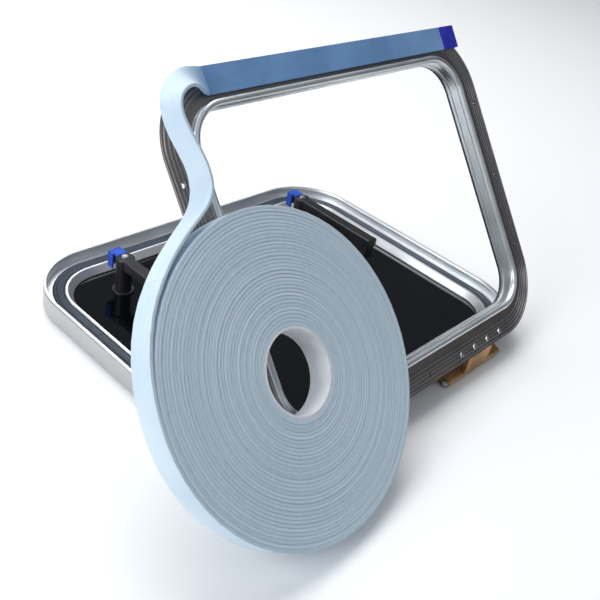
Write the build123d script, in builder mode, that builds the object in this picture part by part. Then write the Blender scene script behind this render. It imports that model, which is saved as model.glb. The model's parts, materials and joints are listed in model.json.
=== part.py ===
# An aluminium deck hatch lying on its outer face with its base frame hinged up over it,
# and a roll of foam sealing tape leaning on the frame while the tape goes on the flange.
# Millimetres, +Z up. The origin is the middle of the acrylic pane's outer face.
import os
from math import cos, radians, sin

from build123d import *

# ---- driving dimensions ---------------------------------------------------
lid_width = 490.0              # along the hinge, X
lid_depth = 400.0              # hinge side to lock side, Y
lid_corner = 80.0
rim_height = 27.5              # top of the lid's rim above the floor
wall_foot = 3.0                # underside of the lid's outer wall

pane_inset = 12.0
pane_thickness = 8.0

flange_width = 472.0
flange_depth = 368.0
flange_corner = 75.0
flange_plate = 3.0
coaming_inset = 37.0           # inner face of the frame's wall, from the flange's edge
coaming_back = 14.4            # how far the wall reaches behind the flange's face
lip_height = 6.0               # how far its rounded lip stands in front of that face
rib_height = 0.8
rib_pitch = 4.0
first_rib = 1.8
rib_width = 1.4
rib_count = 5

open_angle = 51.5              # the frame's angle to the lid
hinge_height = 5.5
hinge_out = 10.2               # hinge axis in front of the lid's outer wall
flange_from_axis = 18.1        # flange edge to hinge axis, in the flange's plane
face_from_axis = 22.5          # flange face to hinge axis, square to the flange
hinge_centre = 102.0
knuckle_radius = 4.5
knuckle_length = 48.0
end_knuckle = 30.0
knuckle_gap = 0.4
pin_radius = 2.5
pin_clearance = 0.05
leaf_plate = 3.0
leaf_screw_pitch = 26.5
flange_hole_inset = 9.5
flange_hole_radius = 2.6
side_hole_pitch = 89.0
lock_hole_pitch = 120.0

disc_radius = 18.6             # cover discs let into the pane's outer face
disc_pocket = 3.2
lever_x = 149.0                # the two lock levers stand this far from the middle
lever_y = 126.4
bush_radius = 9.5
bush_foot = 3.6
bush_top = 42.0
neck_radius = 7.8              # where the bush passes through the pane
groove_radius = 6.9
groove_bottom = 18.0
groove_width = 2.4
spindle_radius = 5.0
spindle_clearance = 0.05
square_side = 6.4              # the spindle's square end in the lever
lever_bottom = 42.4
lever_top = 54.0
lever_half_width = 8.5
lever_reach = 130.0            # spindle axis to the end of the long arm
tongue_reach = 20.0            # spindle axis to the end of the tongue
grip_length = 17.0
grip_foot = 27.0
cap_wall = 2.0
cap_foot = 35.0
cap_rise = 0.8                 # the cap's top above the arm
cap_start = 5.4                # spindle axis to the cap's inner edge
cap_cheek = 9.0                # how far the cap's side wraps back along the tongue
screw_hole = 2.2
screw_shank = 2.0
hub_swell = 2.5                # the hub's radius beyond the arm's half width

tape_width = 26.0
tape_thickness = 3.2
roll_radius = 150.0
core_radius = 37.75
core_wall = 2.2
roll_lean = 40.7               # the roll's axis above the horizontal
roll_turn = 4.6                # the roll's axis turned from the hatch's -Y towards +X
roll_face_x = -203.6
roll_face_y = -190.4
strip_left = -170.0            # where the tape leaves the flange
strip_right = 192.0
tab_length = 28.0

os.makedirs("parts", exist_ok=True)

# ---- places worked out from them ------------------------------------------
hinge_y = -lid_depth / 2 - hinge_out
leaf_length = knuckle_length + 2 * end_knuckle
lean = radians(open_angle)
up_slope = Vector(0, cos(lean), sin(lean))
face_normal = Vector(0, -sin(lean), cos(lean))
hinge_axis = Vector(0, hinge_y, hinge_height)
flange_edge = hinge_axis + up_slope * flange_from_axis + face_normal * face_from_axis
flange_middle = flange_edge + up_slope * (flange_depth / 2)
face_plane = Plane(origin=flange_middle, x_dir=(1, 0, 0), z_dir=face_normal)
across_hinge = Plane(origin=hinge_axis, x_dir=up_slope, z_dir=(1, 0, 0))

axis_up = radians(roll_lean)
axis_side = radians(roll_turn)
roll_axis = Vector(sin(axis_side) * cos(axis_up), -cos(axis_side) * cos(axis_up), sin(axis_up))
roll_face_z = tape_width * sin(axis_up) + roll_radius * cos(axis_up)
roll_face = Vector(roll_face_x, roll_face_y, roll_face_z)
roll_back = Plane(origin=roll_face - roll_axis * tape_width, z_dir=roll_axis)


def ring_path(plane, width, depth, radius):
    # closed rounded rectangle that starts in the middle of its near side
    half_x = width / 2
    half_y = depth / 2
    with BuildLine() as path:
        near = Line((0, -half_y), (half_x - radius, -half_y))
        turn_1 = JernArc(near @ 1, near % 1, radius, 90)
        right = Line(turn_1 @ 1, (half_x, half_y - radius))
        turn_2 = JernArc(right @ 1, right % 1, radius, 90)
        far = Line(turn_2 @ 1, (radius - half_x, half_y))
        turn_3 = JernArc(far @ 1, far % 1, radius, 90)
        left = Line(turn_3 @ 1, (-half_x, radius - half_y))
        turn_4 = JernArc(left @ 1, left % 1, radius, 90)
        Line(turn_4 @ 1, (0, -half_y))
    return path.wire().moved(plane.location)


def finish(piece, name):
    piece.part.label = name
    export_step(piece.part, f"parts/{name}.step")


# ---- lid: rim, pane and seals ---------------------------------------------
lid_path = ring_path(Plane.XY, lid_width, lid_depth, lid_corner)
lid_section = Plane(origin=(0, -lid_depth / 2, 0), x_dir=(0, 1, 0), z_dir=(1, 0, 0))

wall = 3.4                     # outer wall of the rim
ledge_height = 15.0            # step inside the wall
channel_start = 9.0            # gasket channel, measured in from the outer face
channel_end = 24.0
channel_floor = 13.0
ridge_width = 3.2
ridge_top = 17.4
slope_end = 33.5
bond_top = 9.6                 # the rim sits on the glazing seal at this height
bond_start = 15.0
bond_end = 31.0
underside = 11.4
slot_depth = wall + 6          # how far the hinge slots reach through the wall
slot_y = -lid_depth / 2 + wall / 2
leaf_relief = 2.4

with BuildPart() as lid_rim:
    with BuildSketch(lid_section) as rim_outline:
        with BuildLine():
            Polyline(
                (1.0, wall_foot),
                (0.0, wall_foot + 1.5),
                (0.0, rim_height - 1.6),
                (1.0, rim_height),
                (wall + 0.2, rim_height),
                (wall + 1.0, rim_height - 1.4),
                (wall, rim_height - 3.2),
                (wall, ledge_height + 0.8),
                (wall + 0.8, ledge_height),
                (channel_start, ledge_height),
                (channel_start, ledge_height + 1.0),
                (channel_start + 1.2, ledge_height + 1.0),
                (channel_start + 1.2, channel_floor),
                (channel_end, channel_floor),
                (channel_end, ridge_top - 0.8),
                (channel_end + 0.8, ridge_top),
                (channel_end + ridge_width, ridge_top),
                (slope_end, pane_thickness + 1.6),
                (slope_end, pane_thickness + 0.2),
                (bond_end + 0.4, pane_thickness + 0.2),
                (bond_end + 0.4, bond_top),
                (bond_start, bond_top),
                (bond_start, underside),
                (wall, underside),
                (wall, wall_foot),
                close=True,
            )
        make_face()
    sweep(path=lid_path)
    # slots in the hinge-side wall for the frame's hinge knuckles to swing in, and a
    # shallow relief beside them for the frame's hinge leaves
    with BuildSketch(Plane.XY.offset(wall_foot - 1)):
        with Locations((-hinge_centre, slot_y), (hinge_centre, slot_y)):
            Rectangle(knuckle_length + 4, slot_depth)
    extrude(amount=rim_height, mode=Mode.SUBTRACT)
    with BuildSketch(Plane.XY.offset(rim_height - leaf_relief)):
        with Locations((-hinge_centre, slot_y), (hinge_centre, slot_y)):
            Rectangle(leaf_length + 3, slot_depth)
    extrude(amount=leaf_relief + 1, mode=Mode.SUBTRACT)
finish(lid_rim, "lid_rim")

with BuildPart() as acrylic_pane:
    with BuildSketch():
        pane_width = lid_width - 2 * pane_inset
        pane_depth = lid_depth - 2 * pane_inset
        RectangleRounded(pane_width, pane_depth, lid_corner - pane_inset)
    extrude(amount=pane_thickness)
    chamfer(acrylic_pane.edges().group_by(Axis.Z)[0], 0.8)
    with Locations((-lever_x, lever_y, pane_thickness), (lever_x, lever_y, pane_thickness)):
        Hole(radius=neck_radius + 0.1)
    with BuildSketch(Plane.XY):
        with Locations((-lever_x, lever_y), (lever_x, lever_y)):
            Circle(disc_radius + 0.4)
    extrude(amount=disc_pocket, mode=Mode.SUBTRACT)
finish(acrylic_pane, "acrylic_pane")

with BuildPart() as glazing_seal:
    with BuildSketch(Plane.XY.offset(pane_thickness)):
        inner_gap = 2 * bond_start + 0.6
        RectangleRounded(lid_width - inner_gap, lid_depth - inner_gap, lid_corner - inner_gap / 2)
        inner_gap = 2 * bond_end
        RectangleRounded(
            lid_width - inner_gap, lid_depth - inner_gap, lid_corner - inner_gap / 2,
            mode=Mode.SUBTRACT,
        )
    extrude(amount=bond_top - pane_thickness)
finish(glazing_seal, "glazing_seal")

with BuildPart() as rim_gasket:
    gasket_left = channel_start + 1.4
    gasket_right = channel_end - 0.2
    with BuildSketch(lid_section) as gasket_outline:
        with BuildLine():
            base = Polyline(
                (gasket_left, channel_floor + 1.6),
                (gasket_left, channel_floor),
                (gasket_right, channel_floor),
                (gasket_right, channel_floor + 1.6),
            )
            crown_1 = (gasket_right - 3.4, channel_floor + 3.6)
            valley = ((gasket_left + gasket_right) / 2, channel_floor + 2.2)
            crown_2 = (gasket_left + 3.4, channel_floor + 3.6)
            Spline(base @ 1, crown_1, valley, crown_2, base @ 0)
        make_face()
    sweep(path=lid_path)
finish(rim_gasket, "rim_gasket")

# ---- base frame: flange, rounded lip and coaming wall ----------------------
frame_path = ring_path(face_plane, flange_width, flange_depth, flange_corner)
frame_section = Plane(origin=flange_edge, x_dir=up_slope, z_dir=(1, 0, 0))
lip_outer = coaming_inset - 7.0
wall_back = coaming_inset - 3.4
groove_depth = 1.6


def flange_points():
    # across the flange from its back edge, over the fine ribs, to the foot of the lip
    points = [(wall_back, -flange_plate), (0.0, -flange_plate), (0.0, 0.0)]
    for number in range(rib_count):
        start = first_rib + number * rib_pitch
        points += [(start, 0.0), (start + 0.3, rib_height)]
        points += [(start + rib_width - 0.3, rib_height), (start + rib_width, 0.0)]
    return points + [(lip_outer - 0.8, 0.0), (lip_outer, 0.8)]


with BuildPart() as frame_ring:
    with BuildSketch(frame_section):
        with BuildLine():
            face = Polyline(*flange_points())
            lip_side = Line(face @ 1, (lip_outer, lip_height - 3.0))
            crown_top = ((lip_outer + coaming_inset) / 2, lip_height)
            crown = ThreePointArc(lip_side @ 1, crown_top, (coaming_inset, lip_height - 2.6))
            groove_mid = (coaming_inset - groove_depth, 1.6)
            groove = ThreePointArc(crown @ 1, groove_mid, (coaming_inset, -0.4))
            band = Line(groove @ 1, (coaming_inset, -5.6))
            step = Polyline(
                band @ 1,
                (coaming_inset - 1.0, -6.6),
                (coaming_inset - 1.0, -9.6),
                (coaming_inset, -10.6),
                (coaming_inset, -coaming_back + 0.6),
                (coaming_inset - 0.6, -coaming_back),
                (wall_back + 0.4, -coaming_back),
                (wall_back, -coaming_back + 0.4),
            )
            Line(step @ 1, face @ 0)
        make_face()
    sweep(path=frame_path)
    hole_x = flange_width / 2 - flange_hole_inset
    hole_y = flange_depth / 2 - flange_hole_inset
    with BuildSketch(face_plane.offset(-flange_plate - 1)):
        with Locations((-hole_x, 0), (hole_x, 0)):
            with GridLocations(1, side_hole_pitch, 1, 3):
                Circle(flange_hole_radius)
        with Locations((0, hole_y)):
            with GridLocations(lock_hole_pitch, 1, 3, 1):
                Circle(flange_hole_radius)
        with Locations((0, -hole_y)):
            Circle(flange_hole_radius)
        with Locations((-hinge_centre, -hole_y), (hinge_centre, -hole_y)):
            with GridLocations(leaf_screw_pitch, 1, 4, 1):
                Circle(screw_hole)
    extrude(amount=flange_plate + rib_height + 2, mode=Mode.SUBTRACT)
finish(frame_ring, "frame_ring")

seal_bulb = 1.5
with BuildPart() as coaming_seal:
    with BuildSketch(frame_section):
        seal_x = (wall_back + coaming_inset) / 2
        with Locations((seal_x, -coaming_back - seal_bulb)):
            Circle(seal_bulb)
            Rectangle(2 * seal_bulb, seal_bulb, align=(Align.CENTER, Align.MIN))
    sweep(path=frame_path)
finish(coaming_seal, "coaming_seal")

# ---- two three-knuckle hinges ----------------------------------------------
bore_radius = pin_radius + pin_clearance
leaf_reach = 16.0              # the frame leaf's width under the flange
frame_leaf_top = face_from_axis - flange_plate


def hinge_section(x_start):
    return across_hinge.offset(x_start)


def frame_leaf(side):
    centre = side * hinge_centre
    start = centre - knuckle_length / 2
    with BuildPart() as leaf:
        with BuildSketch(hinge_section(centre - leaf_length / 2)):
            with Locations((flange_from_axis, frame_leaf_top)):
                Rectangle(leaf_reach, leaf_plate, align=(Align.MIN, Align.MAX))
        extrude(amount=leaf_length)
        with BuildSketch(hinge_section(start)):
            Circle(knuckle_radius)
            with BuildLine():
                Polyline(
                    (-knuckle_radius * 0.7, knuckle_radius * 0.7),
                    (flange_from_axis - 2.0, frame_leaf_top),
                    (flange_from_axis + 2.0, frame_leaf_top),
                    (flange_from_axis + 2.0, frame_leaf_top - leaf_plate),
                    (knuckle_radius * 0.7, 0),
                    (0, 0),
                    close=True,
                )
            make_face()
            Circle(bore_radius, mode=Mode.SUBTRACT)
        extrude(amount=knuckle_length)
        with BuildSketch(face_plane.offset(-flange_plate - leaf_plate - 1)):
            with Locations((centre, -hole_y)):
                with GridLocations(leaf_screw_pitch, 1, 4, 1):
                    Circle(screw_hole)
        extrude(amount=leaf_plate + 2, mode=Mode.SUBTRACT)
    return leaf


def lid_leaf(side):
    # a plate on the lid's wall, open in the middle for the frame's knuckle
    centre = side * hinge_centre
    low = Plane.YZ.offset(centre - leaf_length / 2)
    wall_y = -lid_depth / 2
    with BuildPart() as leaf:
        for shift in (0, leaf_length - end_knuckle + knuckle_gap):
            with BuildSketch(low.offset(shift)):
                with Locations((hinge_y, hinge_height)):
                    Circle(knuckle_radius)
                with BuildLine():
                    Polyline(
                        (hinge_y, hinge_height + knuckle_radius),
                        (wall_y - leaf_plate, hinge_height + knuckle_radius + 3),
                        (wall_y - leaf_plate, rim_height - 3),
                        (wall_y, rim_height - 3),
                        (wall_y, hinge_height - 1.5),
                        (hinge_y + knuckle_radius * 0.6, hinge_height - 1.5),
                        (hinge_y, hinge_height),
                        close=True,
                    )
                make_face()
                with Locations((hinge_y, hinge_height)):
                    Circle(bore_radius, mode=Mode.SUBTRACT)
            extrude(amount=end_knuckle - knuckle_gap)
        with BuildSketch(low):
            with Locations((wall_y, hinge_height - 1.5)):
                Rectangle(leaf_plate, 4.0, align=(Align.MAX, Align.MIN))
        extrude(amount=leaf_length)
        with BuildSketch(Plane.XZ.offset(-wall_y - 1)):
            with Locations(*lid_screw_places(centre)):
                Circle(screw_hole)
        extrude(amount=leaf_plate + 2, mode=Mode.SUBTRACT)
    return leaf


def lid_screw_places(centre):
    reach = (leaf_length - end_knuckle) / 2
    return [(centre - reach, rim_height - 9), (centre + reach, rim_height - 9)]


def hinge_pin(side):
    centre = side * hinge_centre
    with BuildPart() as pin:
        with BuildSketch(hinge_section(centre - leaf_length / 2 - 1.2)):
            Circle(pin_radius)
        extrude(amount=leaf_length + 2.4)
        with BuildSketch(hinge_section(centre - leaf_length / 2 - 2.4)):
            Circle(pin_radius + 1.0)
        extrude(amount=2.2)
        with BuildSketch(hinge_section(centre + leaf_length / 2 + 0.2)):
            Circle(pin_radius + 1.0)
        extrude(amount=2.2)
        chamfer(pin.edges().filter_by(GeomType.CIRCLE).group_by(Axis.X)[-1], 0.5)
        chamfer(pin.edges().filter_by(GeomType.CIRCLE).group_by(Axis.X)[0], 0.5)
    return pin


for side, word in ((-1, "left"), (1, "right")):
    finish(frame_leaf(side), f"frame_hinge_leaf_{word}")
    finish(lid_leaf(side), f"lid_hinge_leaf_{word}")
    finish(hinge_pin(side), f"hinge_pin_{word}")

with BuildPart() as frame_leaf_screws:
    spots = [
        (side * hinge_centre + (number - 1.5) * leaf_screw_pitch, -hole_y)
        for side in (-1, 1)
        for number in range(4)
    ]
    with BuildSketch(face_plane.offset(-flange_plate - leaf_plate - 2.0)):
        with Locations(*spots):
            Circle(2.1)
    extrude(amount=flange_plate + leaf_plate + 2.0 + rib_height)
    with BuildSketch(face_plane.offset(rib_height)):
        with Locations(*spots):
            Circle(3.6)
    extrude(amount=1.5, taper=22)
    with BuildSketch(face_plane.offset(rib_height + 0.9)):
        with Locations(*spots):
            Rectangle(0.9, 3.4)
            Rectangle(3.4, 0.9)
    extrude(amount=1.0, mode=Mode.SUBTRACT)
finish(frame_leaf_screws, "frame_leaf_screws")

with BuildPart() as lid_leaf_screws:
    wall_screws = lid_screw_places(-hinge_centre) + lid_screw_places(hinge_centre)
    with BuildSketch(Plane.XZ.offset(lid_depth / 2 + leaf_plate)):
        with Locations(*wall_screws):
            Circle(3.4)
    extrude(amount=1.5, taper=22)
    with BuildSketch(Plane.XZ.offset(lid_depth / 2)):
        with Locations(*wall_screws):
            Circle(2.1)
    extrude(amount=leaf_plate)
finish(lid_leaf_screws, "lid_leaf_screws")

# ---- lock levers ------------------------------------------------------------


def lever_bush(side):
    # the fixed bush that the spindle turns in, flanged on the pane's inner face
    at = (side * lever_x, lever_y)
    with BuildPart() as bush:
        with BuildSketch(Plane.XY.offset(pane_thickness)):
            with Locations(at):
                Circle(bush_radius + 3.5)
        extrude(amount=2.5)
        fillet(bush.edges().group_by(Axis.Z)[-1], 1.0)
        with BuildSketch(Plane.XY.offset(pane_thickness)):
            with Locations(at):
                Circle(bush_radius)
        extrude(amount=bush_top - pane_thickness)
        chamfer(bush.edges().group_by(Axis.Z)[-1], 0.8)
        with BuildSketch(Plane.XY.offset(bush_foot)):
            with Locations(at):
                Circle(neck_radius)
        extrude(amount=pane_thickness - bush_foot)
        with BuildSketch(Plane.XY):
            with Locations(at):
                Circle(spindle_radius + spindle_clearance)
        extrude(amount=bush_top, mode=Mode.SUBTRACT)
        with BuildSketch(Plane.XY.offset(groove_bottom)):
            with Locations(at):
                Circle(groove_radius)
        extrude(amount=groove_width, mode=Mode.SUBTRACT)
    return bush


def spindle(side):
    at = (side * lever_x, lever_y)
    with BuildPart() as shaft:
        with BuildSketch(Plane.XY.offset(bush_foot)):
            with Locations(at):
                Circle(spindle_radius)
        extrude(amount=lever_bottom + 3.0 - bush_foot)
        with BuildSketch(Plane.XY.offset(lever_bottom)):
            with Locations(at):
                Rectangle(square_side, square_side)
        extrude(amount=lever_top - 3.0 - lever_bottom)
        chamfer(shaft.edges().group_by(Axis.Z)[0], 0.5)
    return shaft


def spindle_seal(side):
    cord = 0.85
    with BuildPart() as o_ring:
        with Locations((side * lever_x, lever_y, groove_bottom + groove_width / 2)):
            Torus(spindle_radius + spindle_clearance + cord + 0.05, cord)
    return o_ring


def outer_disc(side):
    # flush cover disc bonded into the pane's outer face, under the spindle
    with BuildPart() as disc:
        with BuildSketch(Plane.XY.offset(0.4)):
            with Locations((side * lever_x, lever_y)):
                Circle(disc_radius)
        extrude(amount=disc_pocket - 0.4)
        with BuildSketch(Plane.XY):
            with Locations((side * lever_x, lever_y)):
                RegularPolygon(5.0, 6)
        extrude(amount=2.0, mode=Mode.SUBTRACT)
    return disc


def lock_lever(side):
    x = side * lever_x
    hub = lever_half_width + hub_swell
    with BuildPart() as lever:
        with BuildSketch(Plane.XY.offset(lever_bottom)) as outline:
            with BuildLine():
                tip = Line(
                    (x + lever_half_width - 2, lever_y + tongue_reach - cap_wall - 0.4),
                    (x - lever_half_width + 2, lever_y + tongue_reach - cap_wall - 0.4),
                )
                left_hub = ThreePointArc(
                    (x - lever_half_width + 2, lever_y + 7),
                    (x - hub, lever_y),
                    (x - lever_half_width + 1, lever_y - 9),
                )
                Line(tip @ 1, left_hub @ 0)
                end_left = (x - lever_half_width, lever_y - lever_reach)
                end_right = (x + lever_half_width, lever_y - lever_reach)
                Line(left_hub @ 1, end_left)
                Line(end_left, end_right)
                right_hub = ThreePointArc(
                    (x + lever_half_width - 1, lever_y - 9),
                    (x + hub, lever_y),
                    (x + lever_half_width - 2, lever_y + 7),
                )
                Line(end_right, right_hub @ 0)
                Line(right_hub @ 1, tip @ 0)
            make_face()
        extrude(amount=lever_top - lever_bottom)
        with BuildSketch(Plane.XY.offset(lever_bottom)):
            with Locations((x, lever_y - lever_reach + grip_length / 2)):
                RectangleRounded(2 * lever_half_width, grip_length, 4)
        extrude(amount=grip_foot - lever_bottom)
        fillet(lever.edges().group_by(Axis.Z)[-1], 2.0)
        with BuildSketch(Plane.XY.offset(lever_bottom - 1)):
            with Locations((x, lever_y)):
                Rectangle(square_side + 0.2, square_side + 0.2)
        extrude(amount=lever_top - 2.8 - lever_bottom + 1, mode=Mode.SUBTRACT)
        with BuildSketch(Plane.XY.offset(lever_bottom)):
            with Locations((x, lever_y)):
                Circle(spindle_radius + 0.3)
        extrude(amount=3.2, mode=Mode.SUBTRACT)
        with BuildSketch(Plane.XY.offset(lever_top - 4)):
            with Locations((x, lever_y)):
                Circle(screw_hole)
        extrude(amount=5, mode=Mode.SUBTRACT)
        # the tongue is slimmer, so that its cap lies flush with the arm
        with BuildSketch(Plane.XY.offset(lever_top - cap_wall)):
            with Locations((x, lever_y + cap_start - 0.2)):
                Rectangle(4 * lever_half_width, tongue_reach, align=(Align.CENTER, Align.MIN))
        extrude(amount=cap_wall + 1, mode=Mode.SUBTRACT)
    return lever


def lever_cap(side):
    # wear cap over the tongue, with a foot that bears on the frame's lip
    x = side * lever_x
    far = lever_y + tongue_reach
    half = lever_half_width - 1.6
    cap_top = lever_top + cap_rise
    with BuildPart() as cap:
        with BuildSketch(Plane.XY.offset(lever_top - cap_wall)):
            with Locations((x, lever_y + cap_start)):
                Rectangle(2 * half, tongue_reach - cap_start, align=(Align.CENTER, Align.MIN))
        extrude(amount=cap_wall + cap_rise)
        with BuildSketch(Plane.XY.offset(cap_foot)):
            with Locations((x, far)):
                Rectangle(2 * half, cap_wall, align=(Align.CENTER, Align.MAX))
            with Locations((x - half, far)):
                Rectangle(cap_wall, cap_cheek, align=(Align.MAX, Align.MAX))
        extrude(amount=cap_top - cap_foot)
    return cap


def lever_screw(side):
    at = (side * lever_x, lever_y)
    with BuildPart() as screw:
        with BuildSketch(Plane.XY.offset(lever_top - 2.8)):
            with Locations(at):
                Circle(screw_shank)
        extrude(amount=2.8)
        with BuildSketch(Plane.XY.offset(lever_top)):
            with Locations(at):
                Circle(4.2)
        extrude(amount=1.6, taper=20)
        with BuildSketch(Plane.XY.offset(lever_top + 0.6)):
            with Locations(at):
                RegularPolygon(1.6, 6)
        extrude(amount=1.2, mode=Mode.SUBTRACT)
    return screw


for side, word in ((-1, "left"), (1, "right")):
    finish(lever_bush(side), f"lever_bush_{word}")
    finish(spindle(side), f"lever_spindle_{word}")
    finish(spindle_seal(side), f"spindle_seal_{word}")
    finish(outer_disc(side), f"outer_disc_{word}")
    finish(lock_lever(side), f"lock_lever_{word}")
    finish(lever_cap(side), f"lever_cap_{word}")
    finish(lever_screw(side), f"lever_screw_{word}")

# ---- foam tape: the roll, the laid strip and the free lead ------------------
with BuildPart() as tape_roll:
    with BuildSketch(roll_back):
        Circle(roll_radius)
        Circle(core_radius + core_wall, mode=Mode.SUBTRACT)
    extrude(amount=tape_width)
finish(tape_roll, "tape_roll")

with BuildPart() as roll_core:
    with BuildSketch(roll_back):
        Circle(core_radius + core_wall)
        Circle(core_radius, mode=Mode.SUBTRACT)
    extrude(amount=tape_width)
finish(roll_core, "roll_core")

tape_middle = flange_depth / 2 - tape_width / 2
with BuildPart() as tape_strip:
    with BuildSketch(face_plane.offset(rib_height)):
        with Locations((strip_left, tape_middle)):
            laid = strip_right - strip_left - 0.1
            Rectangle(laid, tape_width, align=(Align.MIN, Align.CENTER))
    extrude(amount=tape_thickness)
finish(tape_strip, "tape_strip")

with BuildPart() as tape_end_tab:
    with BuildSketch(face_plane.offset(rib_height)):
        with Locations((strip_right, tape_middle)):
            Rectangle(tab_length, tape_width, align=(Align.MIN, Align.CENTER))
    extrude(amount=tape_thickness + 0.4)
    fillet(tape_end_tab.edges().filter_by(lambda e: abs(e.tangent_at(0).dot(face_normal)) > 0.99), 1.2)
finish(tape_end_tab, "tape_end_tab")

# the free tape from the strip's end, round the frame's corner and down to the roll:
# each station has a place on its middle line and the way its width runs
lead_gap = 0.3
lead_thickness = tape_thickness - 2 * lead_gap
rim_left = roll_axis.cross(Vector(0, 0, 1)).normalized()
rim_top = rim_left.cross(roll_axis)
roll_middle = roll_face - roll_axis * (tape_width / 2)


def over_rim(turn, lift):
    out = rim_left * cos(turn) + rim_top * sin(turn)
    return roll_middle + out * (roll_radius + tape_thickness / 2 + lift)


touch_turn = radians(52.0)     # where the lead comes to rest on the roll, from its left
near_turn = radians(57.0)
above_turn = radians(62.0)
lead_start = flange_middle + up_slope * tape_middle
lead_start += face_normal * (rib_height + tape_thickness / 2)
lead_start += Vector(strip_left - lead_gap, 0, 0)
free_places = [
    Vector(-186, -4, 319),
    Vector(-201, -12, 326),
    Vector(-217, -19, 328),
    Vector(-231, -26, 323),
    Vector(-238, -35, 312),
    Vector(-236, -47, 296),
    Vector(-228, -61, 276),
    Vector(-227, -72, 256),
    Vector(-239, -81, 244),
    Vector(-262, -89, 235),
]
free_tilts = [36, 14, -3, -16, -36, -60, -60, 2, -32, -39]
free_widths = [Vector(0, cos(radians(tilt)), sin(radians(tilt))) for tilt in free_tilts]
rim_places = [over_rim(above_turn, 1.7), over_rim(near_turn, 0.9), over_rim(touch_turn, lead_gap)]
lead_places = [lead_start] + free_places + rim_places
lead_widths = [up_slope] + free_widths + [-roll_axis] * len(rim_places)
lead_headings = [Vector(-1, 0, 0)]
lead_headings += [b - a for a, b in zip(lead_places[:-2], lead_places[2:])]
lead_headings += [rim_left * sin(touch_turn) - rim_top * cos(touch_turn)]

with BuildPart() as tape_lead:
    for place, width, heading in zip(lead_places, lead_widths, lead_headings):
        along = heading.normalized()
        across = width - along * width.dot(along)
        with BuildSketch(Plane(origin=place, x_dir=across, z_dir=along)):
            Rectangle(tape_width, lead_thickness)
    loft()
finish(tape_lead, "tape_lead")
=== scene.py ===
import json
import math
import random

import bpy
from mathutils import Matrix, Vector


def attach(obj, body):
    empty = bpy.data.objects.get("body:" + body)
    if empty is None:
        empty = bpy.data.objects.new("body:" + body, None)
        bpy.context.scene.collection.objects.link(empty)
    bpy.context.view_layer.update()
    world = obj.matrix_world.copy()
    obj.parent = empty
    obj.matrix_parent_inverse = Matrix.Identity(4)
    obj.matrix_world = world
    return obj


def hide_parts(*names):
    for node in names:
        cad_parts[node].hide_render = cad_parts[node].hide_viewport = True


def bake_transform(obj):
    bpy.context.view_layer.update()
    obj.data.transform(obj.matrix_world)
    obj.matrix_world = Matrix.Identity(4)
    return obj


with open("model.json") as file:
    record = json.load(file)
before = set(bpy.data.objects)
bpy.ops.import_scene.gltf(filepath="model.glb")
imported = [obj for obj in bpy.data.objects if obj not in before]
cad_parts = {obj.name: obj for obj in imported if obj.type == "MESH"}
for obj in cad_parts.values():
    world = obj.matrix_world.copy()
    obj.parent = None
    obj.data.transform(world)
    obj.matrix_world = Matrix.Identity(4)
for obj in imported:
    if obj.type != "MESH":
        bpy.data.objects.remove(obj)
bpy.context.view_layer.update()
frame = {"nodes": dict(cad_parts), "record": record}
nodes = frame["nodes"]
mm = 0.001
print("frame loaded:", len(nodes), "CAD nodes")


# the base frame leans back on its hinges; these give places across its flange
lean = math.radians(51.5)
upSlope = Vector((0, math.cos(lean), math.sin(lean)))
faceNormal = Vector((0, -math.sin(lean), math.cos(lean)))
flangeEdge = Vector((0, -210.2, 5.5)) * mm + upSlope * 18.1 * mm + faceNormal * 22.5 * mm

# the tape roll leans the other way; its axis comes from the record's bore
rollBore = next(m for m in frame["record"]["mounts"] if m["name"] == "roll_bore")
rollAxis = Vector(rollBore["axis"]).normalized()
rollMiddle = Vector(rollBore["pos_m"])
rollLeft = rollAxis.cross(Vector((0, 0, 1))).normalized()
rollTop = rollLeft.cross(rollAxis)


def clearSelection():
    if bpy.context.object and bpy.context.object.mode != "OBJECT":
        bpy.ops.object.mode_set(mode="OBJECT")
    bpy.ops.object.select_all(action="DESELECT")


def pick(thing):
    clearSelection()
    thing.select_set(True)
    bpy.context.view_layer.objects.active = thing


# ---- effects that several materials share, each a node group ----

def startGroup(name, inputs, outputs):
    group = bpy.data.node_groups.new(name, "ShaderNodeTree")
    for socketName, kind, default in inputs:
        socket = group.interface.new_socket(socketName, in_out="INPUT", socket_type=kind)
        if default is not None:
            socket.default_value = default
    for socketName, kind in outputs:
        group.interface.new_socket(socketName, in_out="OUTPUT", socket_type=kind)
    source = group.nodes.new("NodeGroupInput")
    sink = group.nodes.new("NodeGroupOutput")
    return group, source, sink


def addMath(tree, operation, first, second=0.0, clamp=False):
    node = tree.nodes.new("ShaderNodeMath")
    node.operation = operation
    node.use_clamp = clamp
    for slot, value in ((0, first), (1, second)):
        if isinstance(value, (int, float)):
            node.inputs[slot].default_value = value
        else:
            tree.links.new(value, node.inputs[slot])
    return node.outputs[0]


def addNoise(tree, vector, scale, detail=3.0, rough=0.5, distortion=0.0):
    node = tree.nodes.new("ShaderNodeTexNoise")
    node.inputs["Detail"].default_value = detail
    node.inputs["Roughness"].default_value = rough
    node.inputs["Distortion"].default_value = distortion
    if isinstance(scale, (int, float)):
        node.inputs["Scale"].default_value = scale
    else:
        tree.links.new(scale, node.inputs["Scale"])
    tree.links.new(vector, node.inputs["Vector"])
    return node.outputs["Fac"]


def addRange(tree, value, low, high, toLow=0.0, toHigh=1.0):
    node = tree.nodes.new("ShaderNodeMapRange")
    for socket, number in ((1, low), (2, high), (3, toLow), (4, toHigh)):
        node.inputs[socket].default_value = number
    tree.links.new(value, node.inputs[0])
    return node.outputs[0]


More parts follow.
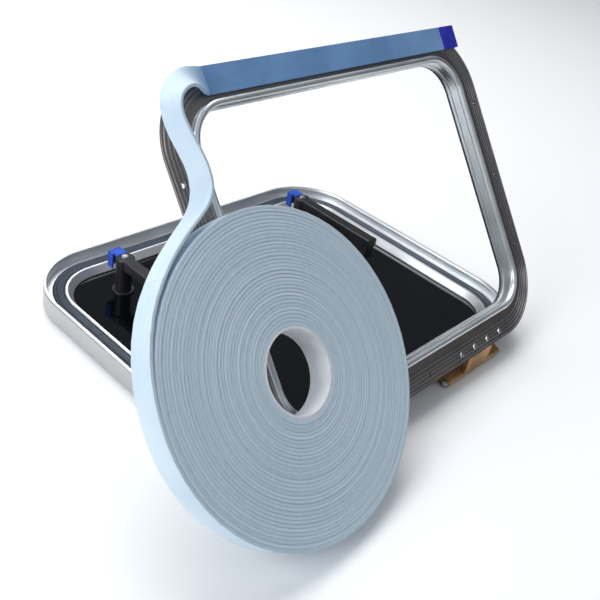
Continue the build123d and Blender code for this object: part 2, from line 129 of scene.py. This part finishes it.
def addMix(tree, factor, first, second):
    node = tree.nodes.new("ShaderNodeMix")
    node.data_type = "RGBA"
    if isinstance(factor, (int, float)):
        node.inputs[0].default_value = factor
    else:
        tree.links.new(factor, node.inputs[0])
    for slot, value in ((6, first), (7, second)):
        if isinstance(value, tuple):
            node.inputs[slot].default_value = value
        else:
            tree.links.new(value, node.inputs[slot])
    return node.outputs[2]


def splitVector(tree, vector):
    node = tree.nodes.new("ShaderNodeSeparateXYZ")
    tree.links.new(vector, node.inputs["Vector"])
    return node.outputs


def makeGrainGroup():
    # fine streaks that run along an extrusion or a moulding, stretched by the stretch vector
    group, source, sink = startGroup(
        "streakGrain",
        [("Vector", "NodeSocketVector", None), ("Stretch", "NodeSocketVector", (4, 4, 900))],
        [("Streak", "NodeSocketFloat"), ("Height", "NodeSocketFloat")],
    )
    stretch = group.nodes.new("ShaderNodeVectorMath")
    stretch.operation = "MULTIPLY"
    group.links.new(source.outputs["Vector"], stretch.inputs[0])
    group.links.new(source.outputs["Stretch"], stretch.inputs[1])
    coarse = addNoise(group, stretch.outputs[0], 1.0, 2.0, 0.5)
    fine = addNoise(group, stretch.outputs[0], 2.7, 4.0, 0.65)
    coarsePart = addMath(group, "MULTIPLY", coarse, 0.6)
    finePart = addMath(group, "MULTIPLY", fine, 0.4)
    streak = addMath(group, "ADD", coarsePart, finePart)
    group.links.new(addRange(group, streak, 0.3, 0.7), sink.inputs["Streak"])
    group.links.new(fine, sink.inputs["Height"])
    return group


def makeCloudGroup():
    # large soft change of tone, with smaller handling marks over it
    group, source, sink = startGroup(
        "handlingMarks",
        [("Vector", "NodeSocketVector", None), ("Size", "NodeSocketFloat", 9.0)],
        [("Tone", "NodeSocketFloat"), ("Smear", "NodeSocketFloat")],
    )
    broad = addNoise(group, source.outputs["Vector"], source.outputs["Size"], 2.0, 0.5, 0.4)
    smallSize = addMath(group, "MULTIPLY", source.outputs["Size"], 5.0)
    small = addNoise(group, source.outputs["Vector"], smallSize, 5.0, 0.6, 1.2)
    group.links.new(addRange(group, broad, 0.35, 0.65), sink.inputs["Tone"])
    group.links.new(addRange(group, small, 0.45, 0.72), sink.inputs["Smear"])
    return group


def makeSpeckGroup():
    # dust and tiny pits: a mask and a height
    group, source, sink = startGroup(
        "dustSpecks",
        [("Vector", "NodeSocketVector", None), ("Density", "NodeSocketFloat", 420.0)],
        [("Mask", "NodeSocketFloat"), ("Height", "NodeSocketFloat")],
    )
    cells = group.nodes.new("ShaderNodeTexVoronoi")
    cells.feature = "F1"
    group.links.new(source.outputs["Vector"], cells.inputs["Vector"])
    group.links.new(source.outputs["Density"], cells.inputs["Scale"])
    dots = addRange(group, cells.outputs["Distance"], 0.08, 0.2, 1.0, 0.0)
    patchy = addNoise(group, source.outputs["Vector"], 30.0, 2.0)
    mask = addMath(group, "MULTIPLY", dots, addRange(group, patchy, 0.5, 0.62))
    group.links.new(mask, sink.inputs["Mask"])
    group.links.new(cells.outputs["Distance"], sink.inputs["Height"])
    return group


def makeInsetGroup():
    # how far a place lies in from a rounded rectangle's outline, and how high it is
    group, source, sink = startGroup(
        "ringInset",
        [
            ("Vector", "NodeSocketVector", None),
            ("HalfWidth", "NodeSocketFloat", 0.2),
            ("HalfDepth", "NodeSocketFloat", 0.2),
            ("Corner", "NodeSocketFloat", 0.05),
        ],
        [("Inset", "NodeSocketFloat"), ("Height", "NodeSocketFloat"), ("Section", "NodeSocketVector")],
    )
    split = splitVector(group, source.outputs["Vector"])
    beyond = []
    for axis, half in (("X", "HalfWidth"), ("Y", "HalfDepth")):
        flat = addMath(group, "SUBTRACT", source.outputs[half], source.outputs["Corner"])
        beyond.append(addMath(group, "SUBTRACT", addMath(group, "ABSOLUTE", split[axis]), flat))
    outside = [addMath(group, "MAXIMUM", value, 0.0) for value in beyond]
    squares = [addMath(group, "POWER", value, 2.0) for value in outside]
    distance = addMath(group, "SQRT", addMath(group, "ADD", squares[0], squares[1]))
    within = addMath(group, "MINIMUM", addMath(group, "MAXIMUM", beyond[0], beyond[1]), 0.0)
    signed = addMath(group, "SUBTRACT", addMath(group, "ADD", distance, within), source.outputs["Corner"])
    inset = addMath(group, "MULTIPLY", signed, -1.0)
    section = group.nodes.new("ShaderNodeCombineXYZ")
    group.links.new(inset, section.inputs["X"])
    group.links.new(split["Z"], section.inputs["Y"])
    along = addMath(group, "ADD", split["X"], split["Y"])
    group.links.new(addMath(group, "MULTIPLY", along, 0.004), section.inputs["Z"])
    group.links.new(inset, sink.inputs["Inset"])
    group.links.new(split["Z"], sink.inputs["Height"])
    group.links.new(section.outputs["Vector"], sink.inputs["Section"])
    return group


effects = {
    "grain": makeGrainGroup(),
    "cloud": makeCloudGroup(),
    "speck": makeSpeckGroup(),
    "inset": makeInsetGroup(),
}


def placeGroup(tree, effect, vector, **values):
    node = tree.nodes.new("ShaderNodeGroup")
    node.node_tree = effects[effect]
    tree.links.new(vector, node.inputs["Vector"])
    for name, value in values.items():
        node.inputs[name].default_value = value
    return node


def startMaterial(name, turned=None):
    # a material on object coordinates, turned to (place, euler) when the piece leans
    material = bpy.data.materials.new(name)
    material.use_nodes = True
    tree = material.node_tree
    shader = tree.nodes["Principled BSDF"]
    place = tree.nodes.new("ShaderNodeTexCoord").outputs["Object"]
    if turned:
        mapping = tree.nodes.new("ShaderNodeMapping")
        mapping.vector_type = "TEXTURE"
        mapping.inputs["Location"].default_value = turned[0]
        mapping.inputs["Rotation"].default_value = turned[1]
        tree.links.new(place, mapping.inputs["Vector"])
        place = mapping.outputs["Vector"]
    return material, tree, shader, place


def addBump(tree, shader, heights, distance):
    # heights is a list of (height, strength); each bump sits on the one before
    normal = None
    for height, strength in heights:
        bump = tree.nodes.new("ShaderNodeBump")
        bump.inputs["Strength"].default_value = strength
        bump.inputs["Distance"].default_value = distance
        tree.links.new(height, bump.inputs["Height"])
        if normal:
            tree.links.new(normal, bump.inputs["Normal"])
        normal = bump.outputs["Normal"]
    tree.links.new(normal, shader.inputs["Normal"])


def finishSurface(tree, shader, place, look, baseColour=None, grainPlace=None):
    # the common layers: grain, soft tone, smears and dust over a base colour
    grain = placeGroup(tree, "grain", grainPlace or place, Stretch=look["stretch"])
    cloud = placeGroup(tree, "cloud", place, Size=look["markSize"])
    speck = placeGroup(tree, "speck", place, Density=look["speckDensity"])
    if baseColour is None:
        baseColour = addMix(tree, cloud.outputs["Tone"], look["dark"], look["light"])
    tint = addMath(tree, "MULTIPLY", grain.outputs["Streak"], look["streakTint"])
    streaked = addMix(tree, tint, baseColour, look["streakColour"])
    dust = addMath(tree, "MULTIPLY", speck.outputs["Mask"], look["dust"])
    dusted = addMix(tree, dust, streaked, look["dustColour"])
    tree.links.new(dusted, shader.inputs["Base Color"])
    rough = addMath(tree, "MULTIPLY", grain.outputs["Streak"], look["roughStreak"])
    rough = addMath(tree, "ADD", rough, addMath(tree, "MULTIPLY", cloud.outputs["Smear"], look["roughSmear"]))
    rough = addMath(tree, "ADD", rough, look["rough"], clamp=True)
    tree.links.new(rough, shader.inputs["Roughness"])
    shader.inputs["Metallic"].default_value = look["metal"]
    shader.inputs["IOR"].default_value = look["ior"]
    addBump(
        tree,
        shader,
        [(grain.outputs["Height"], look["grainBump"]), (speck.outputs["Height"], look["speckBump"])],
        look["bumpDepth"],
    )


def plainLook(light, dark, **changes):
    look = {
        "light": light,
        "dark": dark,
        "streakColour": light,
        "dustColour": (0.45, 0.44, 0.42, 1),
        "stretch": (60, 60, 60),
        "markSize": 9.0,
        "speckDensity": 420.0,
        "streakTint": 0.3,
        "dust": 0.12,
        "rough": 0.35,
        "roughStreak": 0.08,
        "roughSmear": 0.12,
        "metal": 0.0,
        "ior": 1.47,
        "grainBump": 0.15,
        "speckBump": 0.05,
        "bumpDepth": 0.0004,
    }
    look.update(changes)
    return look


def dress(thing, material):
    thing.data.materials.clear()
    thing.data.materials.append(material)


# ---- metals ----

# the lid's and the flange's rounded outlines
rimOutline = {"HalfWidth": 0.245, "HalfDepth": 0.2, "Corner": 0.08}
flangeOutline = {"HalfWidth": 0.236, "HalfDepth": 0.184, "Corner": 0.075}

rimLook = plainLook(
    (0.9, 0.92, 0.94, 1), (0.76, 0.78, 0.8, 1),
    streakColour=(0.92, 0.93, 0.94, 1), stretch=(1500, 1500, 1500), streakTint=0.2,
    metal=1.0, rough=0.34, roughStreak=0.12, roughSmear=0.12, grainBump=0.1, bumpDepth=0.0002,
    wallColour=(0.5, 0.5, 0.5, 1), wallFrom=0.3, wallTo=0.6,
)
frameLook = plainLook(
    (0.76, 0.8, 0.82, 1), (0.62, 0.65, 0.68, 1),
    streakColour=(0.86, 0.89, 0.9, 1), stretch=(1300, 1300, 1300), streakTint=0.25,
    metal=1.0, rough=0.32, roughStreak=0.12, roughSmear=0.1, grainBump=0.1, bumpDepth=0.0002,
    # painted shade on the flange's plate and a painted highlight on its rib crests
    plateColour=(0.2, 0.165, 0.155, 1), ribColour=(0.44, 0.44, 0.46, 1), plateEdge=29.6,
    edgeWidth=0.6, ribFoot=0.3, ribCrest=0.75,
)
bronzeLook = plainLook(
    (0.55, 0.34, 0.15, 1), (0.26, 0.14, 0.06, 1),
    streakColour=(0.7, 0.46, 0.22, 1), stretch=(400, 12, 12), streakTint=0.35,
    metal=0.9, rough=0.3, roughStreak=0.15, roughSmear=0.25, grainBump=0.2, markSize=38.0,
)
steelLook = plainLook(
    (0.8, 0.8, 0.8, 1), (0.6, 0.6, 0.61, 1),
    stretch=(300, 300, 300), metal=1.0, rough=0.2, roughStreak=0.1, markSize=120.0, grainBump=0.12,
)


def makeMetal(name, look):
    material, tree, shader, place = startMaterial(name)
    finishSurface(tree, shader, place, look)
    return material


def makeRimMetal(look):
    # the rim's drawing lines run round the lid, so they follow its rounded outline
    material, tree, shader, place = startMaterial("rimMetal")
    ring = placeGroup(tree, "inset", place, **rimOutline)
    cloud = placeGroup(tree, "cloud", place, Size=look["markSize"])
    base = addMix(tree, cloud.outputs["Tone"], look["dark"], look["light"])
    # painted shade: the outer wall is given a darker base colour than the rest of the rim
    pastWall = addRange(tree, ring.outputs["Inset"], look["wallFrom"] * mm, look["wallTo"] * mm)
    base = addMix(tree, pastWall, look["wallColour"], base)
    finishSurface(tree, shader, place, look, base, ring.outputs["Section"])
    return material


def makeFrameMetal(look):
    # the flange's plate is painted dark as shade, for the dark it reflects, and its rib crests are painted
    # lighter as a highlight; height is square to the flange
    middle = flangeEdge + upSlope * flangeOutline["HalfDepth"]
    material, tree, shader, place = startMaterial("frameMetal", (tuple(middle), (lean, 0, 0)))
    ring = placeGroup(tree, "inset", place, **flangeOutline)
    height, inset = ring.outputs["Height"], ring.outputs["Inset"]
    cloud = placeGroup(tree, "cloud", place, Size=look["markSize"])
    bright = addMix(tree, cloud.outputs["Tone"], look["dark"], look["light"])
    # painted highlight on the rib crests over the painted dark plate
    onRib = addRange(tree, height, look["ribFoot"] * mm, look["ribCrest"] * mm)
    plate = addMix(tree, onRib, look["plateColour"], look["ribColour"])
    plateEnd = look["plateEdge"] + look["edgeWidth"]
    offPlate = addRange(tree, inset, look["plateEdge"] * mm, plateEnd * mm)
    colour = addMix(tree, offPlate, plate, bright)
    finishSurface(tree, shader, place, look, colour, ring.outputs["Section"])
    return material


rimMetal = makeRimMetal(rimLook)
frameMetal = makeFrameMetal(frameLook)
bronze = makeMetal("bronzeLeaf", bronzeLook)
steel = makeMetal("screwSteel", steelLook)
dress(nodes["lid_rim"], rimMetal)
dress(nodes["frame_ring"], frameMetal)
for name in (
    "frame_hinge_leaf_left", "frame_hinge_leaf_right", "lid_hinge_leaf_left", "lid_hinge_leaf_right",
):
    dress(nodes[name], bronze)
for name in (
    "hinge_pin_left", "hinge_pin_right", "frame_leaf_screws", "lid_leaf_screws",
    "lever_spindle_left", "lever_spindle_right", "lever_screw_left", "lever_screw_right",
):
    dress(nodes[name], steel)
print("metals done")


# ---- acrylic, rubber and moulded plastic ----

acrylicLook = plainLook(
    (0.002, 0.003, 0.004, 1), (0.001, 0.001, 0.002, 1),
    stretch=(3, 3, 3), streakTint=0.1, rough=0.02, roughStreak=0.01, roughSmear=0.07, dust=0.05,
    grainBump=0.01, speckBump=0.0, markSize=6.0, ior=1.38,
)
rubberLook = plainLook(
    (0.03, 0.045, 0.07, 1), (0.015, 0.022, 0.036, 1),
    streakColour=(0.07, 0.1, 0.14, 1), stretch=(30, 30, 600), streakTint=0.4, rough=0.4,
    roughStreak=0.15, grainBump=0.25, dust=0.25, markSize=14.0,
)
blackLook = plainLook(
    (0.018, 0.018, 0.021, 1), (0.009, 0.009, 0.011, 1),
    stretch=(700, 700, 700), streakTint=0.2, rough=0.3, roughStreak=0.12,
    grainBump=0.25, dust=0.2, markSize=30.0,
)
blueLook = plainLook(
    (0.022, 0.1, 0.62, 1), (0.012, 0.06, 0.45, 1),
    streakColour=(0.05, 0.17, 0.75, 1), stretch=(300, 300, 300), rough=0.3, grainBump=0.2, markSize=60.0,
)
acrylic = makeMetal("blackAcrylic", acrylicLook)
rubber = makeMetal("darkRubber", rubberLook)
blackPlastic = makeMetal("blackPlastic", blackLook)
bluePlastic = makeMetal("bluePlastic", blueLook)
dress(nodes["acrylic_pane"], acrylic)
for name in ("rim_gasket", "glazing_seal", "coaming_seal", "spindle_seal_left", "spindle_seal_right"):
    dress(nodes[name], rubber)
for name in (
    "lever_bush_left", "lever_bush_right", "lock_lever_left", "lock_lever_right",
    "outer_disc_left", "outer_disc_right",
):
    dress(nodes[name], blackPlastic)
for name in ("lever_cap_left", "lever_cap_right"):
    dress(nodes[name], bluePlastic)
print("acrylic, rubber and plastics done")


# ---- foam tape: strip, end tab, core ----

stripLook = plainLook(
    (0.16, 0.33, 0.6, 1), (0.11, 0.25, 0.48, 1),
    streakColour=(0.2, 0.37, 0.64, 1), stretch=(14, 500, 500), streakTint=0.5, rough=0.45,
    roughStreak=0.15, grainBump=0.2, markSize=22.0, dust=0.1, dustColour=(0.5, 0.6, 0.75, 1),
    bandColour=(0.42, 0.56, 0.8, 1), bandScale=55.0, bandBend=1.5, bandTint=0.3,
    bandsFrom=0.12, bandsTo=0.19,
)
tabLook = plainLook(
    (0.03, 0.035, 0.5, 1), (0.015, 0.02, 0.32, 1),
    stretch=(200, 200, 200), rough=0.3, roughSmear=0.2, grainBump=0.1, markSize=70.0,
)
boardLook = plainLook(
    (0.78, 0.8, 0.83, 1), (0.64, 0.66, 0.7, 1),
    stretch=(90, 90, 500), rough=0.55, grainBump=0.3, markSize=40.0,
)


def makeStripTape(look):
    # the laid strip: a smooth film with pale bands where it was pressed down near its end
    material, tree, shader, place = startMaterial("laidTape", (tuple(flangeEdge), (lean, 0, 0)))
    cloud = placeGroup(tree, "cloud", place, Size=look["markSize"])
    base = addMix(tree, cloud.outputs["Tone"], look["dark"], look["light"])
    wave = tree.nodes.new("ShaderNodeTexWave")
    wave.inputs["Scale"].default_value = look["bandScale"]
    wave.inputs["Distortion"].default_value = look["bandBend"]
    tree.links.new(place, wave.inputs["Vector"])
    nearEnd = addRange(tree, splitVector(tree, place)["X"], look["bandsFrom"], look["bandsTo"])
    bands = addMath(tree, "MULTIPLY", wave.outputs["Fac"], nearEnd)
    bands = addMath(tree, "MULTIPLY", bands, look["bandTint"])
    finishSurface(tree, shader, place, look, addMix(tree, bands, base, look["bandColour"]))
    return material


dress(nodes["tape_strip"], makeStripTape(stripLook))
dress(nodes["tape_end_tab"], makeMetal("blueFilm", tabLook))
dress(nodes["roll_core"], makeMetal("coreBoard", boardLook))
print("strip, tab and core done")


# ---- the wound roll ----

rollSize = {
    "outer": 150.0 * mm,
    "inner": 39.95 * mm,
    "width": 26.0 * mm,
    "turns": 34,
    "stepsPerTurn": 60,
    "gap": 0.12 * mm,
    "wander": 0.35 * mm,
    "edgeRound": 0.35 * mm,
    "endAngle": 52.0,
    "peelTurns": 0.13,
    "peelLift": 3.5 * mm,
    "settle": 0.05,
    "seed": 7,
}
foamLook = plainLook(
    (0.68, 0.8, 0.9, 1), (0.56, 0.69, 0.81, 1),
    streakColour=(0.74, 0.86, 0.94, 1), stretch=(160, 160, 160), streakTint=0.25, rough=0.62,
    roughStreak=0.1, grainBump=0.3, speckBump=0.35, speckDensity=900.0, markSize=12.0, dust=0.25,
    dustColour=(0.4, 0.47, 0.54, 1),
    # painted shade: darker colours for the roll's faces, with a ring-by-ring tone between them
    cutLight=(0.6, 0.72, 0.81, 1), cutDark=(0.42, 0.53, 0.62, 1), cutFrom=12.2, cutTo=12.7,
    ringScale=330.0, filmFrom=-0.208, filmTo=-0.17,
)


def rollEuler():
    # X to the roll's left, Y to its top and Z out of its back face
    return Matrix((rollLeft, rollTop, -rollAxis)).transposed().to_euler()


def makeWoundFoam(look):
    # each turn's cut edge is a little lighter or darker, ring by ring; the faces are painted darker than the
    # rim as shade, so the rim is pale
    turned = (tuple(rollMiddle), tuple(rollEuler()))
    material, tree, shader, place = startMaterial("woundFoam", turned)
    cloud = placeGroup(tree, "cloud", place, Size=look["markSize"])
    base = addMix(tree, cloud.outputs["Tone"], look["dark"], look["light"])
    split = splitVector(tree, place)
    flat = tree.nodes.new("ShaderNodeCombineXYZ")
    tree.links.new(split["X"], flat.inputs["X"])
    tree.links.new(split["Y"], flat.inputs["Y"])
    length = tree.nodes.new("ShaderNodeVectorMath")
    length.operation = "LENGTH"
    tree.links.new(flat.outputs["Vector"], length.inputs[0])
    ring = tree.nodes.new("ShaderNodeCombineXYZ")
    tree.links.new(length.outputs["Value"], ring.inputs["X"])
    tone = addRange(tree, addNoise(tree, ring.outputs["Vector"], look["ringScale"], 2.0), 0.35, 0.65)
    cut = addMix(tree, tone, look["cutDark"], look["cutLight"])
    # painted shade: the faces get the darker colours, the rim keeps the base
    offMiddle = addMath(tree, "ABSOLUTE", split["Z"])
    onFace = addRange(tree, offMiddle, look["cutFrom"] * mm, look["cutTo"] * mm)
    finishSurface(tree, shader, place, look, addMix(tree, onFace, base, cut))
    return material


def makeFreeFoam(look):
    # painted shade: the lead is tinted with the strip's blue where it leaves the strip, for the dark blue
    # shading at the fold
    material, tree, shader, place = startMaterial("freeFoam")
    cloud = placeGroup(tree, "cloud", place, Size=look["markSize"])
    base = addMix(tree, cloud.outputs["Tone"], look["dark"], look["light"])
    # painted shade at the fold: the strip's blue near the lead's start
    nearStrip = addRange(tree, splitVector(tree, place)["X"], look["filmFrom"], look["filmTo"])
    finishSurface(tree, shader, place, look, addMix(tree, nearStrip, base, stripLook["light"]))
    return material


def thickenTape(tape, thickness, edgeRound):
    # gives a flat ribbon its thickness, soft edges and outward normals
    thick = tape.modifiers.new("thick", "SOLIDIFY")
    thick.thickness = thickness
    thick.offset = 0.0
    bpy.ops.object.modifier_apply(modifier="thick")
    soft = tape.modifiers.new("soft", "BEVEL")
    soft.width = edgeRound
    soft.segments = 2
    soft.limit_method = "ANGLE"
    soft.angle_limit = math.radians(50)
    bpy.ops.object.modifier_apply(modifier="soft")
    bpy.ops.object.mode_set(mode="EDIT")
    bpy.ops.mesh.select_all(action="SELECT")
    bpy.ops.mesh.normals_make_consistent(inside=False)
    bpy.ops.object.mode_set(mode="OBJECT")
    bpy.ops.object.shade_smooth_by_angle(angle=math.radians(40))


def makeRoll(size):
    # one long ribbon wound outwards, with each turn's edges a hair out of line
    random.seed(size["seed"])
    pitch = (size["outer"] - size["inner"]) / size["turns"]
    curve = bpy.data.curves.new("windingLine", "CURVE")
    curve.dimensions = "3D"
    curve.extrude = size["width"] / 2 - size["wander"] / 2
    curve.twist_mode = "Z_UP"
    count = size["turns"] * size["stepsPerTurn"] + 1
    line = curve.splines.new("POLY")
    line.points.add(count - 1)
    endAngle = math.radians(size["endAngle"])
    lift = 0.0
    for number in range(count):
        if number % size["stepsPerTurn"] == 0:
            wanted = random.uniform(-0.5, 0.5) * size["wander"]
        lift += (wanted - lift) * size["settle"]
        back = (count - 1 - number) / size["stepsPerTurn"]
        radius = size["outer"] - pitch / 2 - back * pitch
        radius = max(radius, size["inner"] + pitch / 2)
        peel = max(0.0, 1.0 - back / size["peelTurns"])
        radius += size["peelLift"] * peel * peel * (3 - 2 * peel)
        angle = endAngle - back * 2 * math.pi
        line.points[number].co = (radius * math.cos(angle), radius * math.sin(angle), lift, 1)
    ribbon = bpy.data.objects.new("tapeRoll", curve)
    bpy.context.scene.collection.objects.link(ribbon)
    pick(ribbon)
    bpy.ops.object.convert(target="MESH")
    ribbon = bpy.context.object
    thickenTape(ribbon, pitch - size["gap"], size["edgeRound"])
    ribbon.matrix_world = Matrix.Translation(rollMiddle) @ rollEuler().to_matrix().to_4x4()
    bpy.ops.object.transform_apply(location=True, rotation=True, scale=True)
    return ribbon


roll = makeRoll(rollSize)
dress(roll, makeWoundFoam(foamLook))
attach(roll, "roll")
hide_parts("tape_roll")
print("roll wound:", len(roll.data.polygons), "faces")


# ---- the free tape from the strip to the roll ----

leadSize = {
    "width": 26.0 * mm,
    "thickness": 2.9 * mm,
    "strip": -170.0 * mm,
    "acrossStrip": 355.0 * mm,
    "faceHeight": 2.4 * mm,
    "rollRadius": 150.0 * mm,
    "smoothing": 3,
    "edgeRound": 0.5 * mm,
    "rollEnd": (-0.25, -0.085, 0.24),
}
# middle of the tape in millimetres and the tilt of its width, from the strip down to the roll
leadStations = [
    ((-186, -4, 319), 36),
    ((-201, -12, 326), 14),
    ((-217, -19, 328), -3),
    ((-231, -26, 323), -16),
    ((-238, -35, 312), -36),
    ((-236, -47, 296), -60),
    ((-228, -61, 276), -60),
    ((-227, -72, 256), 2),
    ((-239, -81, 244), -32),
    ((-262, -89, 235), -39),
]
# then down onto the roll: degrees round its rim and the height of the tape's middle over it
rimStations = [(62.0, 3.3), (57.0, 2.5), (52.0, 1.9)]


def leadRoute(size):
    start = flangeEdge + upSlope * size["acrossStrip"] + faceNormal * size["faceHeight"]
    places = [start + Vector((size["strip"], 0, 0))]
    widths = [upSlope]
    for place, tilt in leadStations:
        places.append(Vector(place) * mm)
        widths.append(Vector((0, math.cos(math.radians(tilt)), math.sin(math.radians(tilt)))))
    for degrees, height in rimStations:
        angle = math.radians(degrees)
        outward = rollLeft * math.cos(angle) + rollTop * math.sin(angle)
        places.append(rollMiddle + outward * (size["rollRadius"] + height * mm))
        widths.append(-rollAxis)
    headings = [Vector((-1, 0, 0))]
    headings += [after - before for before, after in zip(places[:-2], places[2:])]
    headings += [rollLeft * math.sin(angle) - rollTop * math.cos(angle)]
    route = []
    for place, width, heading in zip(places, widths, headings):
        along = heading.normalized()
        across = (width - along * width.dot(along)).normalized()
        route.append((place, across))
    return route


def makeLead(size):
    # a flat ribbon, extruded edge by edge through its stations and smoothed
    route = leadRoute(size)
    clearSelection()
    bpy.ops.mesh.primitive_plane_add(size=size["width"])
    lead = bpy.context.object
    lead.name = "tapeLead"
    bpy.ops.object.mode_set(mode="EDIT")
    bpy.ops.mesh.select_all(action="DESELECT")
    bpy.ops.object.mode_set(mode="OBJECT")
    half = size["width"] / 2
    front = [v for v in lead.data.vertices if v.co.x < 0]
    rear = [v for v in lead.data.vertices if v.co.x >= 0]
    placeEdge(rear, route[0], half)
    placeEdge(front, route[1], half)
    tail = [v.index for v in sorted(front, key=lambda v: v.co.y)]
    for station in route[2:]:
        before = len(lead.data.vertices)
        bpy.ops.object.mode_set(mode="OBJECT")
        for edge in lead.data.edges:
            edge.select = set(edge.vertices) == set(tail)
        for vertex in lead.data.vertices:
            vertex.select = vertex.index in tail
        bpy.ops.object.mode_set(mode="EDIT")
        bpy.ops.mesh.select_mode(type="EDGE")
        bpy.ops.mesh.extrude_edges_move()
        bpy.ops.object.mode_set(mode="OBJECT")
        fresh = list(lead.data.vertices)[before:]
        placeEdge(fresh, station, half, [lead.data.vertices[i] for i in tail])
        tail = [v.index for v in fresh]
    pick(lead)
    smooth = lead.modifiers.new("smooth", "SUBSURF")
    smooth.levels = size["smoothing"]
    smooth.render_levels = size["smoothing"]
    smooth.boundary_smooth = "PRESERVE_CORNERS"
    bpy.ops.object.modifier_apply(modifier="smooth")
    thickenTape(lead, size["thickness"], size["edgeRound"])
    return lead


def placeEdge(pair, station, half, behind=None):
    # the two ends of one edge across the tape, upper end first
    place, across = station
    ends = [place + across * half, place - across * half]
    if behind:
        straight = (ends[0] - behind[0].co).length + (ends[1] - behind[1].co).length
        crossed = (ends[0] - behind[1].co).length + (ends[1] - behind[0].co).length
        if crossed < straight:
            ends.reverse()
    pair = pair if behind else sorted(pair, key=lambda v: -v.co.y)
    for vertex, end in zip(pair, ends):
        vertex.co = end


lead = makeLead(leadSize)
dress(lead, makeFreeFoam(foamLook))
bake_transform(lead)
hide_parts("tape_lead")
print("lead done:", len(lead.data.polygons), "faces")


# ---- stage, light and camera ----

studio = {
    "floorColour": (0.97, 0.97, 0.97, 1),
    "floorSize": 14.0,
    "skyLow": (0.07, 0.06, 0.06, 1),
    "skyHigh": (0.75, 0.8, 0.88, 1),
    "skyStrength": 0.5,
    "aim": (0, 0, 0.1),
}
# each soft lamp's name, place, size, power and colour
lamps = [
    ("keyLamp", (-2.6, 0.3, 1.7), 1.8, 50, (0.93, 0.97, 1.0)),
    ("fillLamp", (0.4, -2.2, 2.6), 2.4, 6, (0.95, 0.97, 1.0)),
    ("topLamp", (0.3, 1.2, 2.6), 2.2, 60, (1.0, 1.0, 1.0)),
]
view = {
    "place": (-0.6468, -0.5124, 0.573),
    "right": (0.6836, -0.7101, 0.1684),
    "up": (0.3126, 0.4934, 0.8117),
    "back": (-0.6595, -0.5022, 0.5593),
    "lens": 49.14,
    "sensor": 36.0,
    "nearClip": 0.01,
}


def makeFloor(look):
    clearSelection()
    bpy.ops.mesh.primitive_plane_add(size=look["floorSize"], location=(0, 0, -0.0004))
    floor = bpy.context.object
    floor.name = "studioFloor"
    material, tree, shader, place = startMaterial("studioFloor")
    shader.inputs["Base Color"].default_value = look["floorColour"]
    shader.inputs["Roughness"].default_value = 0.9
    dress(floor, material)


def makeSky(look):
    world = bpy.data.worlds.new("softRoom")
    bpy.context.scene.world = world
    world.use_nodes = True
    tree = world.node_tree
    ground = tree.nodes["Background"]
    direction = tree.nodes.new("ShaderNodeTexCoord").outputs["Generated"]
    height = addRange(tree, splitVector(tree, direction)["Z"], 0.2, 0.95)
    tree.links.new(addMix(tree, height, look["skyLow"], look["skyHigh"]), ground.inputs["Color"])
    ground.inputs["Strength"].default_value = look["skyStrength"]


def addLamp(name, place, size, power, colour):
    data = bpy.data.lights.new(name, "AREA")
    data.shape = "DISK"
    data.size = size
    data.energy = power
    data.color = colour
    lamp = bpy.data.objects.new(name, data)
    bpy.context.scene.collection.objects.link(lamp)
    aim = Vector(studio["aim"]) - Vector(place)
    lamp.matrix_world = Matrix.Translation(place) @ aim.to_track_quat("-Z", "Y").to_matrix().to_4x4()


def makeCamera(view):
    # rolled a little, as the hatch is seen from its near left corner
    data = bpy.data.cameras.new("viewCamera")
    data.lens = view["lens"]
    data.sensor_width = view["sensor"]
    data.clip_start = view["nearClip"]
    camera = bpy.data.objects.new("viewCamera", data)
    bpy.context.scene.collection.objects.link(camera)
    turn = Matrix((view["right"], view["up"], view["back"])).transposed().to_4x4()
    camera.matrix_world = Matrix.Translation(view["place"]) @ turn
    bpy.context.scene.camera = camera


makeFloor(studio)
makeSky(studio)
for lamp in lamps:
    addLamp(*lamp)
makeCamera(view)
bpy.context.scene.view_settings.view_transform = "Standard"
print("stage, light and camera done")
